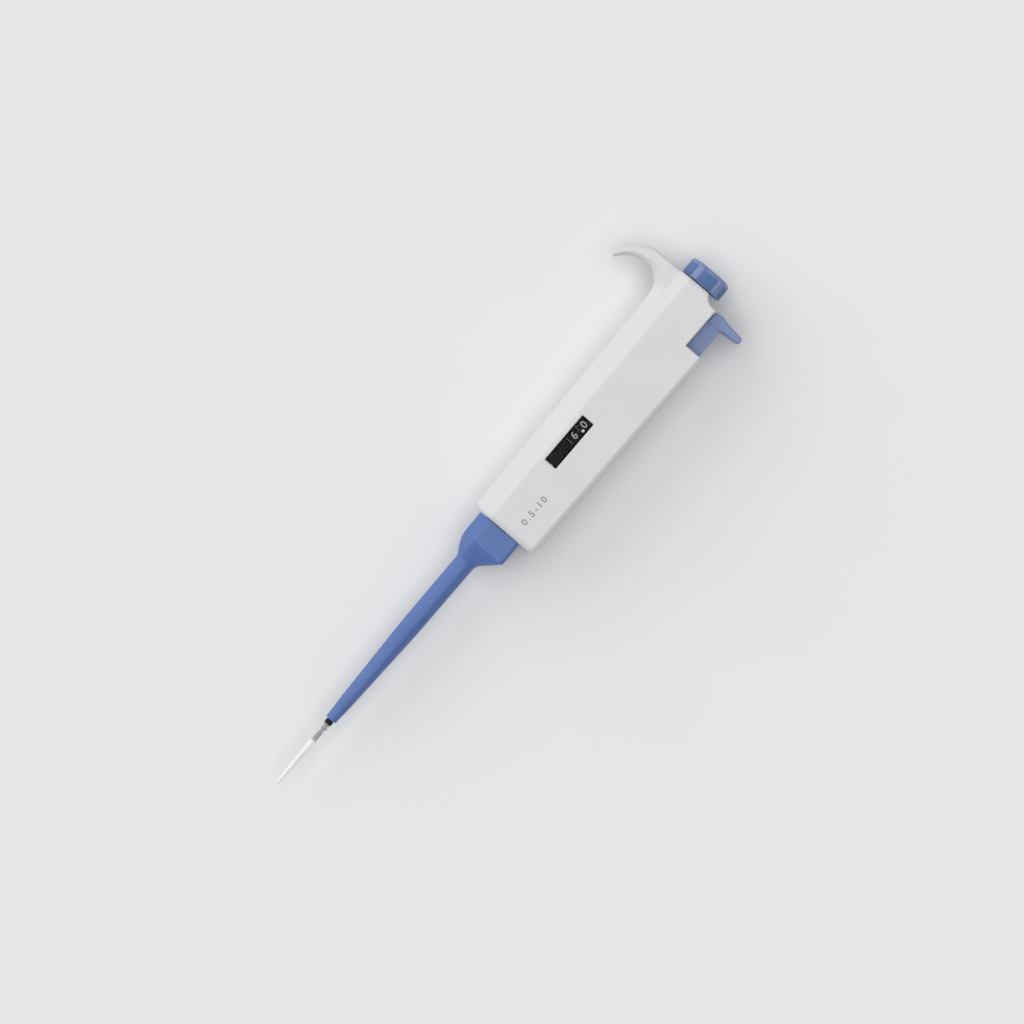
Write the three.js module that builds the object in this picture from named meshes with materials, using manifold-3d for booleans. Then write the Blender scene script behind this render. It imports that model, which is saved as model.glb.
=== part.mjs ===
// Single-channel adjustable air-displacement pipette, 0.5 to 10 microlitres, with a tip fitted.
// Every piece is drawn upright, in millimetres: Y runs up the piston axis from the tip's end,
// X points to the tip-ejector side and Z to the display. The last lines lay the pipette on its back.
import * as THREE from "three";
import { mergeVertices } from "three/addons/utils/BufferGeometryUtils.js";
import Module from "manifold-3d";

const wasm = await Module();
wasm.setup();

// ---- driving dimensions ----
const GAP = 0.3; // running clearance between neighbouring pieces

const OVERALL_LENGTH = 268.3;
const HALF_DEPTH = 13; // half of the handle's thickness, front to back
const WALL = 2;

const HANDLE_BOTTOM = 135.3;
const HANDLE_TOP = 260.3;
const HANDLE_EDGE_RADIUS = 3;
const NOSE_HALF = 4.5; // half-height of the handle's narrow left side
const TOP_EDGE_RADIUS = 1.6;
const HOOK_REACH = -35.3;

const SHELF_Y = 238.5; // the step under the ejector button
const SHELF_X = 11;
const WELL_RADIUS = 9.9; // round recess that the push button sinks into
const WELL_FLOOR = 253.3;
const SHOULDER_Y = 256.7;

const WINDOW = { left: -2.4, right: 3.4, bottom: 167.5, top: 190.8 };

const BUTTON_RADIUS = 9.5;
const BUTTON_BOTTOM = 260.8;
const BUTTON_LOBES = 5;
const NOTCH_DEPTH = 0.8;
const NOTCH_TURN = THREE.MathUtils.degToRad(6);

const SCREW_RADIUS = 4.9;
const SCREW_TOP = 255.1;
const SCREW_BOTTOM = 161;
const THREAD_BOTTOM = 233;
const SPLINE_RADIUS = 4.2; // hexagon, across corners, halved
const ROD_HEX_RADIUS = 2.2;
const ROD_RADIUS = 1.6;

const DRUM_RADIUS = 9.6;
const DRUM_HEIGHT = 5.5;
const DRUM_PITCH = 5.8;
const TENTHS_DRUM_Y = 188.3;

const PINION = { x: 12, z: -6.6, radius: 3.2, teeth: 8 };

const BARREL_RADIUS = 3.2;
const CHAMBER_RADIUS = 2.5;
const CONE_END = 22.3;
const PISTON_RADIUS = 1;

const EJECTOR = { left: 11.3, right: 17.8, halfWidth: 7, waist: 6, padEnd: 26.7 };
const BAR = { left: 13.4, right: 15.8, halfWidth: 2.6, footLeft: 7.2, footRight: 9.6 };
const SLEEVE_TOP = 135;
const SLEEVE_END = 33;
const SHAFT_RADIUS = 4.25;

const TIP_TOP = 30.6;

const SHELL_SCREWS = [
  { x: 8.2, y: 228, boss: true },
  { x: 8.2, y: 203, boss: true },
  { x: 10.6, y: 158, boss: true },
  { x: -18.8, y: 257.1, boss: false }, // through the finger hook
];
const HOOK_SCREW_FACE = -8.3;

// ---- materials ----
function plastic(color, roughness = 0.35) {
  return new THREE.MeshStandardMaterial({ color, roughness, metalness: 0 });
}

function metal(color, roughness = 0.3) {
  return new THREE.MeshStandardMaterial({ color, roughness, metalness: 1 });
}

const WHITE = plastic(0xe9ebeb);
const BLUE = plastic(0x6f8cc4);
const DEEP_BLUE = plastic(0x5a7bb8);
const BLACK = plastic(0x1d1f26, 0.5);
const NOZZLE_GREY = plastic(0x77797d);
const CLEAR = new THREE.MeshStandardMaterial({
  color: 0xf4f7f8,
  roughness: 0.1,
  metalness: 0,
  transparent: true,
  opacity: 0.35,
});
const STEEL = metal(0xb9bcc0);
const BRASS = metal(0xc9a24b);
const PTFE = plastic(0xf1f1ee, 0.6);
const RUBBER = plastic(0x202020, 0.9);

// ---- solids ----
function toSolid(geometry) {
  const bare = geometry.index ? geometry.toNonIndexed() : geometry.clone();
  bare.deleteAttribute("normal");
  bare.deleteAttribute("uv");
  const merged = mergeVertices(bare, 1e-4);
  return new wasm.Manifold(
    new wasm.Mesh({
      numProp: 3,
      vertProperties: new Float32Array(merged.attributes.position.array),
      triVerts: new Uint32Array(merged.index.array),
    }),
  );
}

function toGeometry(solid) {
  const mesh = solid.getMesh();
  const geometry = new THREE.BufferGeometry();
  geometry.setAttribute("position", new THREE.BufferAttribute(mesh.vertProperties, 3));
  geometry.setIndex(new THREE.BufferAttribute(mesh.triVerts, 1));
  geometry.computeVertexNormals();
  return geometry;
}

function cut(base, ...tools) {
  return toGeometry(tools.reduce((solid, tool) => solid.subtract(toSolid(tool)), toSolid(base)));
}

function join(base, ...pieces) {
  return toGeometry(pieces.reduce((solid, piece) => solid.add(toSolid(piece)), toSolid(base)));
}

function common(base, tool) {
  return toGeometry(toSolid(base).intersect(toSolid(tool)));
}

function block(x0, x1, y0, y1, z0, z1) {
  return new THREE.BoxGeometry(x1 - x0, y1 - y0, z1 - z0).translate(
    (x0 + x1) / 2,
    (y0 + y1) / 2,
    (z0 + z1) / 2,
  );
}

function signedArea(points) {
  return points.reduce((sum, [x, y], i) => {
    const [nx, ny] = points[(i + 1) % points.length];
    return sum + (x * ny - nx * y) / 2;
  }, 0);
}

// A solid of revolution about the piston axis. The profile is a list of [radius, y].
// It closes along the axis where it starts and ends there, and on itself elsewhere.
function turned(profile, sides = 24) {
  const onAxis = profile[0][0] === 0;
  const forward = signedArea(profile) > 0 ? profile : [...profile].reverse();
  const closed = onAxis ? forward : [...forward, forward[0]];
  return new THREE.LatheGeometry(
    closed.map(([r, y]) => new THREE.Vector2(r, y)),
    sides,
  );
}

function tube(inner, outer, y0, y1, sides = 24) {
  return turned([[inner, y0], [outer, y0], [outer, y1], [inner, y1]], sides);
}

function rod(radius, y0, y1, sides = 24) {
  return turned([[0, y0], [radius, y0], [radius, y1], [0, y1]], sides);
}

// A plate whose outline lies in the X-Y plane, between two depths.
function plate(shape, z0, z1, segments = 6) {
  return new THREE.ExtrudeGeometry(shape, {
    depth: z1 - z0,
    bevelEnabled: false,
    curveSegments: segments,
  }).translate(0, 0, z0);
}

function polygon(points) {
  return new THREE.Shape(points.map(([x, y]) => new THREE.Vector2(x, y)));
}

// Points round a polygon whose corners [x, z, radius] are replaced by arcs of four steps.
function roundedOutline(corners, steps = 4) {
  const points = [];
  corners.forEach(([x, z, radius], i) => {
    const before = corners.at(i - 1);
    const after = corners[(i + 1) % corners.length];
    const corner = new THREE.Vector2(x, z);
    const toBefore = new THREE.Vector2(before[0] - x, before[1] - z).normalize();
    const toAfter = new THREE.Vector2(after[0] - x, after[1] - z).normalize();
    const halfAngle = Math.acos(toBefore.dot(toAfter)) / 2;
    const setback = radius / Math.tan(halfAngle);
    const centre = toBefore
      .clone()
      .add(toAfter)
      .normalize()
      .multiplyScalar(radius / Math.sin(halfAngle))
      .add(corner);
    const from = corner.clone().addScaledVector(toBefore, setback).sub(centre);
    const to = corner.clone().addScaledVector(toAfter, setback).sub(centre);
    const sweep = Math.atan2(from.cross(to), from.dot(to));
    for (let k = 0; k <= steps; k++) {
      const p = from.clone().rotateAround(new THREE.Vector2(), (sweep * k) / steps);
      points.push([centre.x + p.x, centre.y + p.y]);
    }
  });
  return points;
}

// A closed skin through rings of equal point count, each a list of [x, y, z].
function skin(rings) {
  const count = rings[0].length;
  const points = rings.flat();
  const last = points.length - count;
  const triangles = [];
  for (let start = 0; start < last; start += count) {
    for (let i = 0; i < count; i++) {
      const a = start + i;
      const b = start + ((i + 1) % count);
      triangles.push([a, b, b + count], [a, b + count, a + count]);
    }
  }
  [0, last].forEach((start) => {
    const ring = points.slice(start, start + count);
    const hub = points.length;
    points.push([0, 1, 2].map((axis) => ring.reduce((sum, p) => sum + p[axis] / count, 0)));
    for (let i = 0; i < count; i++) {
      const a = start + i;
      const b = start + ((i + 1) % count);
      triangles.push(start === 0 ? [hub, b, a] : [hub, a, b]);
    }
  });
  const corner = (i) => new THREE.Vector3(...points[i]);
  const volume = triangles.reduce(
    (sum, [a, b, c]) => sum + corner(a).dot(corner(b).cross(corner(c))),
    0,
  );
  const outward = volume < 0 ? triangles.map(([a, b, c]) => [a, c, b]) : triangles;
  const geometry = new THREE.BufferGeometry();
  geometry.setAttribute("position", new THREE.Float32BufferAttribute(points.flat(), 3));
  geometry.setIndex(outward.flat());
  return geometry;
}

// A solid through level rings. A ring is { y, points: [[x, z], ...] }.
function loft(levels) {
  return skin(levels.map(({ y, points }) => points.map(([x, z]) => [x, y, z])));
}

function prism(points, y0, y1) {
  return loft([{ y: y0, points }, { y: y1, points }]);
}

function circlePoints(radius, count, x = 0, z = 0, turn = 0) {
  return Array.from({ length: count }, (_, i) => {
    const angle = turn + (2 * Math.PI * i) / count;
    return [x + radius * Math.cos(angle), z + radius * Math.sin(angle)];
  });
}

// An open coil spring: a round wire on a helix about the line through (x, z).
class Helix extends THREE.Curve {
  constructor(radius, y0, y1, turns, x, z) {
    super();
    Object.assign(this, { radius, y0, y1, turns, x, z });
  }

  getPoint(t, target = new THREE.Vector3()) {
    const angle = 2 * Math.PI * this.turns * t;
    return target.set(
      this.x + this.radius * Math.cos(angle),
      THREE.MathUtils.lerp(this.y0, this.y1, t),
      this.z + this.radius * Math.sin(angle),
    );
  }
}

function coilSpring({ radius, wire, y0, y1, turns, x = 0, z = 0 }) {
  const section = polygon(circlePoints(wire, 5));
  const path = new Helix(radius, y0 + wire, y1 - wire, turns, x, z);
  return new THREE.ExtrudeGeometry(section, {
    steps: turns * 9,
    extrudePath: path,
    bevelEnabled: false,
  });
}

// ---- handle ----
const taper = (y, low, high) => THREE.MathUtils.mapLinear(y, 140, 240, low, high);

// The handle's section at a height: a flat front and back, a near-square right side,
// and long chamfers that draw the left side in to a narrow nose.
function handleSection(y, inset) {
  const left = taper(y, -12, -13.7) + inset;
  const right = taper(y, 18.5, 19.6) - inset;
  const crease = taper(y, -4.1, -5.4);
  const depth = HALF_DEPTH - inset;
  const nose = NOSE_HALF - inset * 0.4;
  return roundedOutline([
    [right, -depth, 2.2],
    [right, depth, 2.2],
    [crease, depth, 1.5],
    [left, nose, 3],
    [left, -nose, 3],
    [crease, -depth, 1.5],
  ]);
}

function handleOuter() {
  const rings = [0, 0.3, 0.6, 0.85, 1].map((t) => {
    const rise = HANDLE_EDGE_RADIUS * (1 - Math.cos((t * Math.PI) / 2));
    const inset = HANDLE_EDGE_RADIUS * (1 - Math.sin((t * Math.PI) / 2)) * 0.9;
    return { y: HANDLE_BOTTOM + rise, points: handleSection(HANDLE_BOTTOM + rise, inset) };
  });
  [0, 0.4, 0.75, 1].forEach((t) => {
    const y = HANDLE_TOP - TOP_EDGE_RADIUS * (1 - Math.sin((t * Math.PI) / 2));
    const inset = TOP_EDGE_RADIUS * (1 - Math.cos((t * Math.PI) / 2));
    rings.push({ y, points: handleSection(y, inset) });
  });
  return loft(rings);
}

// The finger hook: a curved arm that leaves the top of the handle and turns down. Stations run
// from the root inside the handle to the end. Each has a point on the knob's side, the point on
// the finger's side across from it, and after each the width of the bevel on the broad faces;
// on the finger's side that bevel widens until it runs out in the handle's chamfer.
const HOOK_HALF_WIDTH = 8.6;
const HOOK_STATIONS = [
  [[-6, 259.6, 0.2], [-12.4, 236, 3.4]],
  [[-7.5, 259.7, 0.3], [-13.4, 239.5, 3.9]],
  [[-9, 259.9, 0.4], [-13.8, 243, 4.2]],
  [[-11, 260, 0.5], [-14.1, 246.5, 4.2]],
  [[-13.5, 260.1, 0.6], [-14.8, 248.8, 3.7]],
  [[-16, 260.1, 0.7], [-16, 250.7, 3]],
  [[-18.5, 260.2, 0.8], [-17.8, 252.4, 2.5]],
  [[-21, 260.3, 0.9], [-20, 253.6, 2]],
  [[-23.8, 260.15, 1], [-22.5, 254, 1.6]],
  [[-26.5, 259.2, 1.1], [-25, 253.8, 1.3]],
  [[-29.2, 257.6, 1.1], [-27.5, 253.1, 1.2]],
  [[-31.6, 255.6, 1], [-30, 251.7, 1.1]],
  [[-33.7, 253, 0.9], [-32, 250, 0.9]],
  [[-35, 250.2, 0.7], [-33.6, 248.2, 0.6]],
  [[HOOK_REACH, 248.2, 0.5], [-34.4, 247.3, 0.4]],
];

// The hook's points on one side of it, moved into the hook by a share of the bevel's width.
function hookEdge(side, i, share) {
  const [x, y, bevel] = HOOK_STATIONS[i][side];
  const before = HOOK_STATIONS[Math.max(i - 1, 0)][side];
  const after = HOOK_STATIONS[Math.min(i + 1, HOOK_STATIONS.length - 1)][side];
  const along = new THREE.Vector2(after[0] - before[0], after[1] - before[1]).normalize();
  const inward = side === 0 ? [-along.y, along.x] : [along.y, -along.x];
  return [x + inward[0] * bevel * share, y + inward[1] * bevel * share];
}

function fingerHook() {
  const rings = HOOK_STATIONS.map(([[x], [, , bevel]], i) => {
    const width = HOOK_HALF_WIDTH * (1 - 0.0084 * Math.max(0, -15 - x));
    const depth = THREE.MathUtils.clamp(bevel * 0.85, 1.2, 3.4);
    const half = [
      [...hookEdge(1, i, 0), width - 3.4],
      [...hookEdge(1, i, 1 - 1.2 / depth), width - 1.2],
      [...hookEdge(1, i, 1), width],
      [...hookEdge(0, i, 1), width],
      [...hookEdge(0, i, 0), width - 1.2],
    ];
    const mirrored = [...half].reverse().map(([px, py, pz]) => [px, py, -pz]);
    return [...half, ...mirrored];
  });
  return skin(rings);
}

function handleCavity() {
  const inner = (y) => handleSection(y, WALL);
  const floor = HANDLE_BOTTOM + 2.2;
  const lower = loft([floor, 236.3].map((y) => ({ y, points: inner(y) })));
  const upper = loft([230, 251.1].map((y) => ({ y, points: inner(y) })));
  return join(lower, common(upper, block(-20, 8.9, 200, 260, -20, 20)));
}

// What is removed from the top right: the sloping shoulder beside the button, the notch
// over the shelf, and the bevelled corner of the shelf.
function shoulderCut() {
  const shape = new THREE.Shape();
  shape.moveTo(4.4, HANDLE_TOP + 2);
  shape.lineTo(4.4, HANDLE_TOP - 0.2);
  shape.quadraticCurveTo(6, 257.4, 8.6, SHOULDER_Y + 0.1);
  shape.lineTo(SHELF_X, SHOULDER_Y);
  shape.lineTo(SHELF_X, SHELF_Y);
  shape.lineTo(18.3, SHELF_Y);
  shape.lineTo(19.9, SHELF_Y - 6);
  shape.lineTo(24, SHELF_Y - 6);
  shape.lineTo(24, HANDLE_TOP + 2);
  return plate(shape, -20, 20, 5);
}

function crossHole(x, y, radius, z0, z1) {
  return new THREE.CylinderGeometry(radius, radius, z1 - z0, 16)
    .rotateX(Math.PI / 2)
    .translate(x, y, (z0 + z1) / 2);
}

function handleBody() {
  const bosses = SHELL_SCREWS.filter(({ boss }) => boss).map(({ x, y }) =>
    crossHole(x, y, 2.2, -HALF_DEPTH + WALL / 2, HALF_DEPTH - WALL / 2),
  );
  const springRib = block(11, 17.6, 197.3, 199.3, 3.2, HALF_DEPTH - WALL / 2);
  const well = rod(WELL_RADIUS, WELL_FLOOR, HANDLE_TOP + 2, 36);
  const pocket = { x0: EJECTOR.left - GAP, x1: EJECTOR.right + GAP, z: EJECTOR.halfWidth + GAP };
  const stemPocket = block(pocket.x0, pocket.x1, 219.5, SHELF_Y + 1, -pocket.z, pocket.z);
  const barSlot = block(
    BAR.footLeft - GAP,
    BAR.footRight + GAP,
    HANDLE_BOTTOM - 1,
    HANDLE_BOTTOM + 4,
    -BAR.halfWidth - GAP,
    BAR.halfWidth + GAP,
  );
  const hollow = cut(join(handleOuter(), fingerHook()), handleCavity());
  return cut(
    join(hollow, ...bosses, springRib),
    well,
    rod(7, WELL_FLOOR - 4, WELL_FLOOR + 1),
    rod(4.9, HANDLE_BOTTOM - 1, HANDLE_BOTTOM + 4),
    barSlot,
    shoulderCut(),
    stemPocket,
    block(WINDOW.left, WINDOW.right, WINDOW.bottom, WINDOW.top, 8, 15),
    ...SHELL_SCREWS.flatMap(({ x, y, boss }) => {
      const face = boss ? -HALF_DEPTH : HOOK_SCREW_FACE;
      const reach = boss ? 6 : 3;
      return [crossHole(x, y, 2.1, face - 1, face + 1.9), crossHole(x, y, 1.2, face, reach)];
    }),
  );
}

function shellScrew({ boss }) {
  const head = (boss ? -HALF_DEPTH : HOOK_SCREW_FACE) + 0.2;
  const end = boss ? 5.6 : 2.6;
  const profile = [[0, head], [1.8, head], [1.8, head + 1.3], [0.9, head + 1.3], [0.9, end], [0, end]];
  return turned(profile, 12).rotateX(Math.PI / 2);
}

// ---- push button and plunger ----
function buttonSection(radius) {
  const pitch = (2 * Math.PI) / BUTTON_LOBES;
  const steps = 12;
  return Array.from({ length: BUTTON_LOBES * steps }, (_, i) => {
    const angle = (pitch * i) / steps;
    const fromNotch = Math.abs(((angle + pitch / 2) % pitch) - pitch / 2) / (pitch / 2);
    const dip = THREE.MathUtils.smoothstep(0.78 - fromNotch, 0, 0.16);
    const r = radius - NOTCH_DEPTH * dip;
    const turn = angle + NOTCH_TURN;
    return [r * Math.sin(turn), r * Math.cos(turn)];
  });
}

function pushButton() {
  const levels = [
    [BUTTON_BOTTOM, 0.5],
    [BUTTON_BOTTOM + 0.5, 0],
    [OVERALL_LENGTH - 1.8, 0],
    [OVERALL_LENGTH - 0.6, 0.5],
    [OVERALL_LENGTH, 1.7],
  ];
  const body = loft(levels.map(([y, inset]) => ({ y, points: buttonSection(BUTTON_RADIUS - inset) })));
  return cut(body, rod(ROD_HEX_RADIUS + GAP, BUTTON_BOTTOM - 1, 264.2, 12));
}

function operatingRod() {
  const upper = prism(circlePoints(ROD_HEX_RADIUS, 6), 160.9, 263.8);
  return join(upper, rod(ROD_RADIUS, 129.3, 163, 12));
}

function volumeScrew() {
  const thread = rod(SCREW_RADIUS, THREAD_BOTTOM, SCREW_TOP);
  const spline = prism(circlePoints(SPLINE_RADIUS, 6), SCREW_BOTTOM, THREAD_BOTTOM + 1);
  const bore = prism(circlePoints(ROD_HEX_RADIUS + 0.4, 6), SCREW_BOTTOM - 1, SCREW_TOP + 1);
  return cut(join(thread, spline), bore);
}

// ---- volume counter ----
function drum(centreY, bore) {
  const points = circlePoints(DRUM_RADIUS, 36);
  const body = prism(points, centreY - DRUM_HEIGHT / 2, centreY + DRUM_HEIGHT / 2);
  const hole = typeof bore === "number" ? rod(bore, centreY - 4, centreY + 4) : bore;
  return cut(body, hole);
}

// A bore that the hexagonal part of the volume screw slides in and turns.
function splineBore(y0, y1) {
  return prism(circlePoints(SPLINE_RADIUS + 0.4, 6), y0, y1);
}

function counterFrame() {
  const outline = roundedOutline([
    [13, 10.2, 1],
    [-3.6, 10.2, 1],
    [-10.2, 3.6, 1],
    [-10.2, -3.6, 1],
    [-3.6, -10.2, 1],
    [15, -10.2, 1],
    [15, -3.1, 0.6],
    [13, -3.1, 0.6],
  ], 2);
  const topPlate = prism(outline, 191.7, 193.5);
  const bottomPlate = prism(outline, 168, 173.3);
  const web = block(10.9, 12.6, 170, 193, -2.4, 9);
  return cut(
    join(topPlate, bottomPlate, web),
    rod(5.9, 160, 200),
    rod(1.1, 160, 200, 12).translate(PINION.x, 0, PINION.z),
  );
}

function gearOutline(radius, teeth, depth) {
  return Array.from({ length: teeth * 4 }, (_, i) => {
    const angle = (2 * Math.PI * (i + 0.5)) / (teeth * 4);
    const r = i % 4 < 2 ? radius : radius - depth;
    return [r * Math.cos(angle), r * Math.sin(angle)];
  });
}

function transferPinion() {
  const body = prism(gearOutline(PINION.radius, PINION.teeth, 1), 180, 188);
  return cut(body, rod(1.1, 175, 195, 12)).translate(PINION.x, 0, PINION.z);
}

// ---- liquid end ----
function barrel() {
  return turned([
    [PISTON_RADIUS + 0.15, 44],
    [1.75, 44],
    [BARREL_RADIUS, 88],
    [BARREL_RADIUS, 129],
    [4.6, 130],
    [4.6, 137.8],
    [6.8, 137.8],
    [6.8, 139],
    [CHAMBER_RADIUS, 139],
    [CHAMBER_RADIUS, 107],
    [PISTON_RADIUS + 0.15, 105.5],
  ]);
}

function nozzleCone() {
  return turned([
    [0.45, CONE_END],
    [0.95, CONE_END],
    [1.08, 26],
    [0.8, 26.4],
    [0.8, 29.8],
    [1.28, 30.2],
    [1.28, 32.9],
    [1.5, 33.2],
    [1.75, 43.7],
    [0.9, 43.7],
    [0.9, 41],
    [0.45, 39],
  ], 20);
}

function pipetteTip() {
  return turned([
    [0.25, 0],
    [0.75, 0],
    [1, 8],
    [1.35, 20],
    [1.55, 24.5],
    [2, 26.2],
    [2.2, 26.4],
    [2.2, TIP_TOP],
    [1.5, TIP_TOP],
    [1.12, 21.8],
    [0.8, 21],
    [0.45, 8],
  ], 20);
}

// ---- tip ejector ----
function ejectorButton() {
  const shape = new THREE.Shape();
  shape.moveTo(EJECTOR.left, 230);
  shape.lineTo(EJECTOR.right, 230);
  shape.lineTo(EJECTOR.right, 251.4);
  shape.quadraticCurveTo(EJECTOR.right, 252.1, 18.6, 252.1);
  shape.lineTo(25.2, 252.4);
  shape.quadraticCurveTo(EJECTOR.padEnd, 252.5, EJECTOR.padEnd, 253.9);
  shape.quadraticCurveTo(EJECTOR.padEnd, 255.2, 25.3, 255.4);
  shape.quadraticCurveTo(19, 256, 15.5, 257);
  shape.quadraticCurveTo(12, 257.4, EJECTOR.left, 255.7);
  const body = plate(shape, -EJECTOR.halfWidth, EJECTOR.halfWidth, 4);
  const socketHalf = BAR.halfWidth + GAP;
  const socket = block(BAR.left - GAP, BAR.right + GAP, 229, 234.3, -socketHalf, socketHalf);
  const waist = [-1, 1].map((side) => {
    const depths = [side * EJECTOR.waist, side * (EJECTOR.halfWidth + 1)].sort((a, b) => a - b);
    return block(EJECTOR.left - 1, EJECTOR.right + 0.7, 237.5, 251.8, ...depths);
  });
  return cut(body, socket, ...waist);
}

// A flat bar that steps from the button's side of the handle in to the sleeve.
function ejectorBar() {
  const shape = polygon([
    [BAR.left, 234],
    [BAR.left, 152],
    [BAR.footLeft, 148],
    [BAR.footLeft, 127],
    [BAR.footRight, 127],
    [BAR.footRight, 147],
    [BAR.right, 151],
    [BAR.right, 234],
  ]);
  return plate(shape, -BAR.halfWidth, BAR.halfWidth);
}

// A section of the sleeve: the handle's shape at the flare, an ellipse further down.
function sleeveSection(left, right, depth, roundness) {
  const crease = left + (right - left) * 0.27;
  const nose = depth * 0.38;
  const edge = Math.min(1.8, depth * 0.2);
  const angular = roundedOutline([
    [right, -depth, edge],
    [right, depth, edge],
    [crease, depth, edge],
    [left, nose, edge],
    [left, -nose, edge],
    [crease, -depth, edge],
  ]);
  const mid = (left + right) / 2;
  const firstAngle = THREE.MathUtils.degToRad(-54); // each corner's arc spreads over 60 degrees
  return angular.map(([x, z], i) => {
    const angle = firstAngle + (2 * Math.PI * i) / angular.length;
    const roundX = mid + (right - mid) * Math.cos(angle);
    const roundZ = depth * Math.sin(angle);
    return [
      THREE.MathUtils.lerp(x, roundX, roundness),
      THREE.MathUtils.lerp(z, roundZ, roundness),
    ];
  });
}

function ejectorSleeve() {
  const levels = [
    { y: SLEEVE_TOP, left: -8.3, right: 11.9, depth: 9, roundness: 0 },
    { y: 125.6, left: -8.2, right: 12, depth: 9, roundness: 0 },
    { y: 124.2, left: -8, right: 11.4, depth: 8.8, roundness: 0.05 },
    { y: 122, left: -7.5, right: 9.2, depth: 7.9, roundness: 0.3 },
    { y: 118.5, left: -5.8, right: 5.7, depth: 5.7, roundness: 0.9 },
    { y: 116, left: -4.4, right: 4.4, depth: 4.4, roundness: 1 },
    ...[
      [112, SHAFT_RADIUS],
      [85, 4.15],
      [72, 3.85],
      [52, 3.2],
      [42, 2.85],
      [SLEEVE_END, 2.35],
    ].map(([y, r]) => ({ y, left: -r, right: r, depth: r, roundness: 1 })),
  ];
  const outer = loft(
    levels.map(({ y, left, right, depth, roundness }) => ({
      y,
      points: sleeveSection(left, right, depth, roundness),
    })),
  );
  const bore = turned([
    [0, SLEEVE_END - 1],
    [1.85, SLEEVE_END - 1],
    [1.85, SLEEVE_END],
    [2.15, 42],
    [2.45, 52],
    [3.1, 72],
    [3.55, 88],
    [3.55, 117],
    [6.5, 125],
    [6.5, SLEEVE_TOP + 1],
    [0, SLEEVE_TOP + 1],
  ]);
  const socketHalf = BAR.halfWidth + GAP;
  const socket = block(
    BAR.footLeft - GAP,
    BAR.footRight + GAP,
    126.7,
    SLEEVE_TOP + 1,
    -socketHalf,
    socketHalf,
  );
  return cut(outer, bore, socket);
}

// ---- assembly ----
const upright = new THREE.Group();

function add(name, geometry, material) {
  const mesh = new THREE.Mesh(geometry, material);
  mesh.name = name;
  upright.add(mesh);
  return mesh;
}

const halfSpace = 60;
const shellBody = handleBody();
const front = block(-halfSpace, halfSpace, 100, 300, GAP / 4, halfSpace);
const back = block(-halfSpace, halfSpace, 100, 300, -halfSpace, -GAP / 4);
add("handle_front_shell", common(shellBody, front), WHITE);
add("handle_back_shell", common(shellBody, back), WHITE);
SHELL_SCREWS.forEach((place, i) => {
  add(`shell_screw_${i + 1}`, shellScrew(place), STEEL).position.set(place.x, place.y, 0);
});
const lens = [WINDOW.left + GAP, WINDOW.right - GAP, WINDOW.bottom + GAP, WINDOW.top - GAP];
add("window_lens", block(...lens, 11.2, 12.5), CLEAR);
add("guide_bush", tube(SCREW_RADIUS + GAP, 7 - GAP, 251.2, WELL_FLOOR), WHITE);

const nutBody = prism(circlePoints(7.5, 6), 240.5, 250.8);
add("setting_nut", cut(nutBody, rod(SCREW_RADIUS + GAP, 239, 252)), BRASS);
add("volume_screw", volumeScrew(), STEEL);

add("push_button", pushButton(), BLUE);
add("operating_rod", operatingRod(), STEEL);
add("rod_stop_collar", tube(ROD_RADIUS + GAP, 5.4, 158.3, 160.6), STEEL);
add("piston_head", rod(2.1, 126.5, 129, 16), WHITE);
add("piston", rod(PISTON_RADIUS, 51.5, 126.2, 16), STEEL);

const unitsY = TENTHS_DRUM_Y - DRUM_PITCH;
add("counter_frame", counterFrame(), BLACK);
add("tenths_drum", drum(TENTHS_DRUM_Y, splineBore(TENTHS_DRUM_Y - 4, TENTHS_DRUM_Y + 4)), BLACK);
add("units_drum", drum(unitsY, 5.3), BLACK);
add("blank_drum", drum(unitsY - DRUM_PITCH, 5.3), BLACK);
const pinionShaft = rod(0.8, 167, 194.5, 12).translate(PINION.x, 0, PINION.z);
add("pinion_shaft", pinionShaft, STEEL);
add("transfer_pinion", transferPinion(), WHITE);

add("main_spring", coilSpring({ radius: 3, wire: 0.4, y0: 141.6, y1: 158, turns: 7 }), STEEL);
add("blowout_spring", coilSpring({ radius: 6, wire: 0.6, y0: 141.6, y1: 154, turns: 4 }), STEEL);
add("blowout_ring", tube(4, 7.3, 154.3, 156.3), WHITE);
add("spring_seat", tube(ROD_RADIUS + 0.6, 6.9, 139.4, 141.3), STEEL);

add("barrel", barrel(), WHITE);
add("coupling_nut", tube(4.6 + GAP, 6, 130.6, SLEEVE_TOP), BLACK);
add("nozzle_cone", nozzleCone(), NOZZLE_GREY);
add("cone_base_ring", tube(1.42, 1.65, 30.9, 32.7, 16), BLACK);
const ringSection = circlePoints(0.5, 8, 1.7, 107.95);
add("seal_o_ring", turned(ringSection, 16), RUBBER);
add("piston_seal", tube(1.15, 2.2, 108.8, 110.2, 16), PTFE);
add("seal_retainer", tube(1.2, 2.2, 110.5, 112.4, 16), WHITE);
const pistonSpring = { radius: 1.8, wire: 0.22, y0: 112.7, y1: 126.2, turns: 9 };
add("piston_spring", coilSpring(pistonSpring), STEEL);

add("ejector_button", ejectorButton(), BLUE);
add("ejector_bar", ejectorBar(), STEEL);
const returnSpring = { radius: 2.1, wire: 0.35, y0: 199.6, y1: 229.7, turns: 9, x: 14, z: 6.2 };
add("ejector_spring", coilSpring(returnSpring), STEEL);
add("ejector_sleeve", ejectorSleeve(), DEEP_BLUE);
add("pipette_tip", pipetteTip(), CLEAR);

// The pipette lies on its back: the piston axis runs along X, the hook points to +Y,
// and the origin is under the middle of its outline, on the surface that it lies on.
const middleX = (HOOK_REACH + EJECTOR.padEnd) / 2;
upright.rotation.z = -Math.PI / 2;
upright.position.set(-OVERALL_LENGTH / 2, middleX, HALF_DEPTH);

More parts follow.
